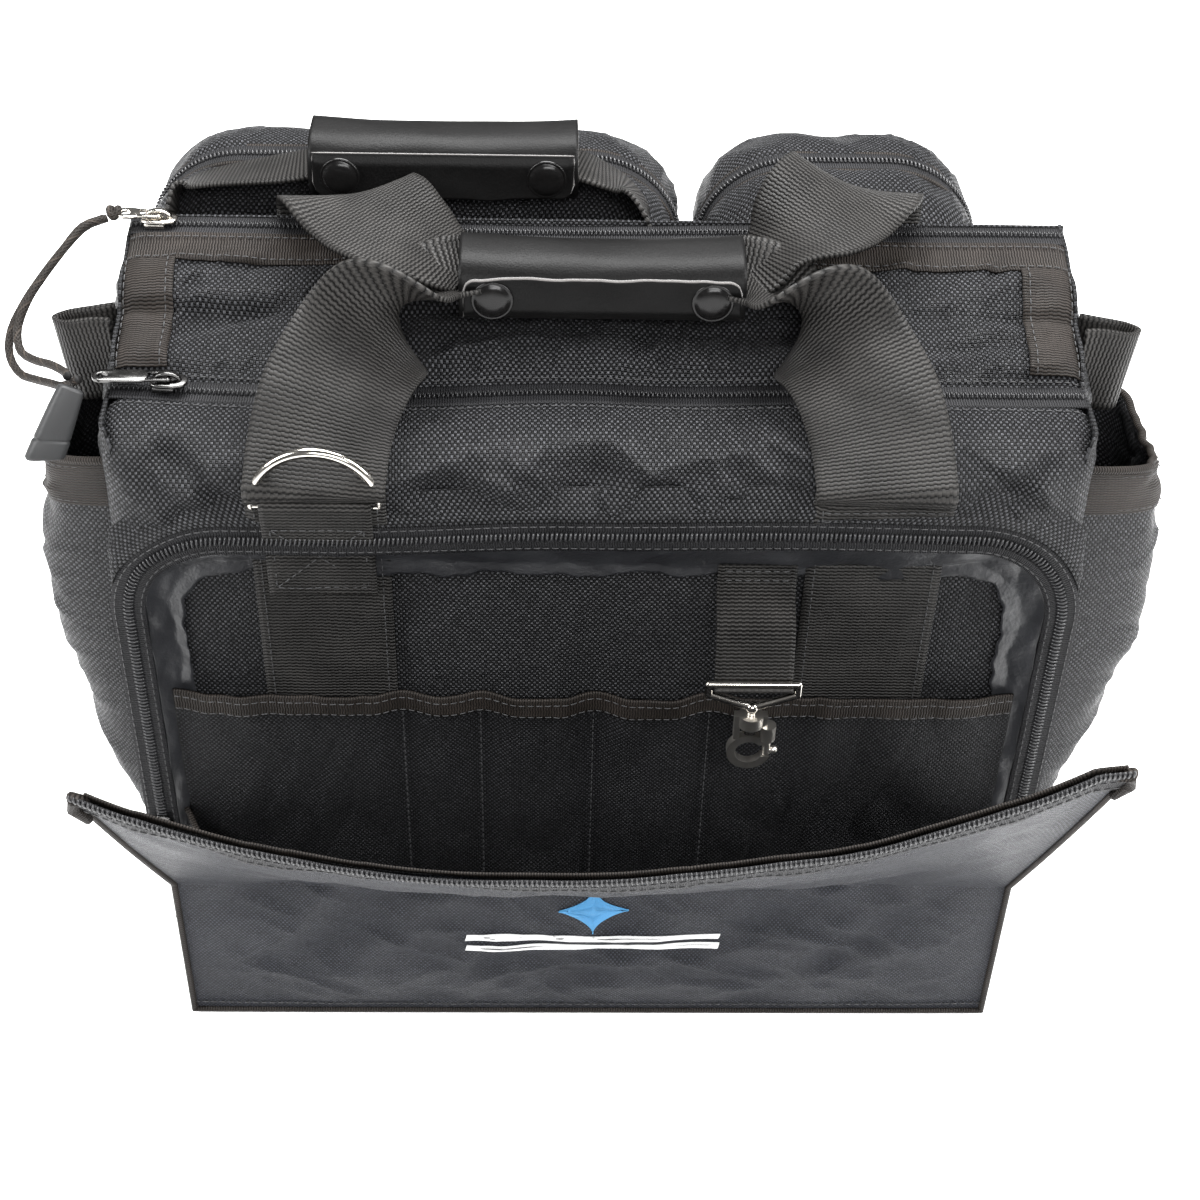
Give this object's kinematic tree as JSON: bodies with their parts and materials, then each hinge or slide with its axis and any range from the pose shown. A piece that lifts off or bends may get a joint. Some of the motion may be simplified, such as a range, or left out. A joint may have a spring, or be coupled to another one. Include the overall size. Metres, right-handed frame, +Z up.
{
  "type": "flight bag",
  "caption": "Soft carry-on flight bag with an open document pocket, zipped compartments, side pockets, rear cases and webbing handles with leather grips.",
  "frame": {"origin": "on the floor under the middle of the main floor panel", "axes": "+X along the bag's length to the viewer's right, +Y to the back, +Z up"},
  "size_m": [0.4075, 0.3002, 0.2955],
  "materials": {
    "ballistic_nylon": "coarse basket weave, slight sheen",
    "pocket_nylon": "fine weave, soft sheen",
    "webbing": "ribbed nylon webbing",
    "binding_tape": "grosgrain tape, matte",
    "lining": "coated, satin",
    "board": "matte",
    "leather": "semi-gloss smooth leather",
    "snap_metal": "gloss black",
    "nickel": "polished",
    "dark_nickel": "polished dark",
    "zip_coil": "satin nylon coil",
    "cord": "braided",
    "plastic_end": "matte moulded"
  },
  "bodies": {
    "bag": {"base_panel": "ballistic_nylon", "base_board": "board", "front_wall": "ballistic_nylon", "divider_wall": "lining", "top_panel": "ballistic_nylon", "rear_wall": "ballistic_nylon", "side_panel_left": "ballistic_nylon", "side_panel_right": "ballistic_nylon", "rim_binding": "binding_tape", "main_zip": "zip_coil", "front_zip": "zip_coil", "handle_strap_left": "webbing", "handle_strap_right": "webbing", "rear_handle_left": "webbing", "rear_handle_right": "webbing", "ring_keeper": "webbing", "side_pocket_left": "ballistic_nylon", "side_pocket_right": "ballistic_nylon", "side_loop_left": "webbing", "side_loop_right": "webbing", "pocket_front_panel": "pocket_nylon", "pocket_gusset_left": "ballistic_nylon", "pocket_gusset_right": "ballistic_nylon", "pocket_zip": "zip_coil", "pocket_lining": "lining", "organizer_panel": "pocket_nylon", "leash_webbing": "webbing", "case_left_front": "ballistic_nylon", "case_left_back": "ballistic_nylon", "case_left_zip": "zip_coil", "case_right_front": "ballistic_nylon", "case_right_back": "ballistic_nylon", "case_right_zip": "zip_coil"},
    "carry_handle": {"front_handle": "webbing", "grip_wrap": "leather"},
    "grip_flap": {"grip_flap": "leather", "grip_snaps": "snap_metal"},
    "case_handle": {"case_handle": "webbing", "case_grip_wrap": "leather"},
    "case_grip_flap": {"case_grip_flap": "leather", "case_grip_snaps": "snap_metal"},
    "carry_ring": {"carry_ring": "nickel"},
    "main_slider": {"main_slider": "nickel", "pull_cord_a": "cord", "pull_cord_b": "cord", "cord_end": "plastic_end"},
    "main_pull": {"main_pull_tab": "nickel"},
    "front_slider": {"front_slider": "dark_nickel"},
    "front_pull": {"front_pull_tab": "dark_nickel"},
    "pocket_slider_left": {"pocket_slider_left": "dark_nickel"},
    "pocket_pull_left": {"pocket_pull_left": "dark_nickel"},
    "pocket_slider_right": {"pocket_slider_right": "dark_nickel"},
    "pocket_pull_right": {"pocket_pull_right": "dark_nickel"},
    "case_left_slider": {"case_left_slider": "dark_nickel"},
    "case_right_slider": {"case_right_slider": "dark_nickel"},
    "front_flap": {"front_flap": "pocket_nylon", "flap_zip": "zip_coil"},
    "hook_eye": {"hook_eye": "dark_nickel"},
    "hook": {"hook_body": "dark_nickel"},
    "hook_gate": {"hook_gate": "dark_nickel"}
  },
  "joints": [
    {"name": "handle_lift", "type": "hinge", "parent": "bag", "child": "carry_handle", "pos_m": [0, -0.0284, 0.227], "axis": [1, 0, 0], "range_deg": [0, 16]},
    {"name": "grip_flap_open", "type": "hinge", "parent": "carry_handle", "child": "grip_flap", "pos_m": [0, 0.0119, 0.266], "axis": [1, 0, 0], "range_deg": [0, 100]},
    {"name": "case_handle_lift", "type": "slide", "parent": "bag", "child": "case_handle", "axis": [0, 0, 1], "range_m": [0, 0.02]},
    {"name": "case_grip_flap_open", "type": "hinge", "parent": "case_handle", "child": "case_grip_flap", "pos_m": [-0.057, 0.0809, 0.2925], "axis": [-1, 0, 0], "range_deg": [0, 90]},
    {"name": "ring_swing", "type": "hinge", "parent": "bag", "child": "carry_ring", "pos_m": [-0.097, -0.0314, 0.218], "axis": [1, 0, 0], "range_deg": [0, 120]},
    {"name": "main_zip_slide", "type": "slide", "parent": "bag", "child": "main_slider", "axis": [1, 0, 0], "range_m": [0, 0.31], "deforming": ["pull_cord_a", "pull_cord_b", "cord_end"]},
    {"name": "main_pull_flip", "type": "hinge", "parent": "main_slider", "child": "main_pull", "pos_m": [-0.158, 0.064, 0.2769], "axis": [0, 1, 0], "range_deg": [0, 40]},
    {"name": "front_zip_slide", "type": "slide", "parent": "bag", "child": "front_slider", "axis": [1, 0, 0], "range_m": [0, 0.298]},
    {"name": "front_pull_flip", "type": "hinge", "parent": "front_slider", "child": "front_pull", "pos_m": [-0.148, 0, 0.2479], "axis": [0, 1, 0], "range_deg": [0, 170]},
    {"name": "pocket_slide_left", "type": "slide", "parent": "bag", "child": "pocket_slider_left", "axis": [0, 0, 1], "range_m": [0, 0.09]},
    {"name": "pocket_pull_left_flip", "type": "hinge", "parent": "pocket_slider_left", "child": "pocket_pull_left", "pos_m": [-0.166, -0.0369, 0.066], "axis": [-1, 0, 0], "range_deg": [0, 170]},
    {"name": "pocket_slide_right", "type": "slide", "parent": "bag", "child": "pocket_slider_right", "axis": [0, 0, 1], "range_m": [0, 0.09]},
    {"name": "pocket_pull_right_flip", "type": "hinge", "parent": "pocket_slider_right", "child": "pocket_pull_right", "pos_m": [0.166, -0.0369, 0.066], "axis": [-1, 0, 0], "range_deg": [0, 170]},
    {"name": "case_left_slide", "type": "slide", "parent": "bag", "child": "case_left_slider", "axis": [0, 0, 1], "range_m": [0, 0.12]},
    {"name": "case_right_slide", "type": "slide", "parent": "bag", "child": "case_right_slider", "axis": [0, 0, 1], "range_m": [0, 0.12]},
    {"name": "front_flap_close", "type": "hinge", "parent": "bag", "child": "front_flap", "pos_m": [0, -0.071, 0.0746], "axis": [-1, 0, 0], "range_deg": [0, 42]},
    {"name": "leash_eye_swing", "type": "hinge", "parent": "bag", "child": "hook_eye", "pos_m": [0.056, -0.047, 0.152], "axis": [-1, 0, 0], "range_deg": [-5, 30]},
    {"name": "hook_swivel", "type": "hinge", "parent": "hook_eye", "child": "hook", "pos_m": [0.056, -0.047, 0.135], "axis": [0, 0, 1], "continuous": true},
    {"name": "gate_slide", "type": "slide", "parent": "hook", "child": "hook_gate", "axis": [0, 0, 1], "range_m": [0, 0.0036], "stiffness_N_per_m": 150, "springref_m": -0.002}
  ]
}
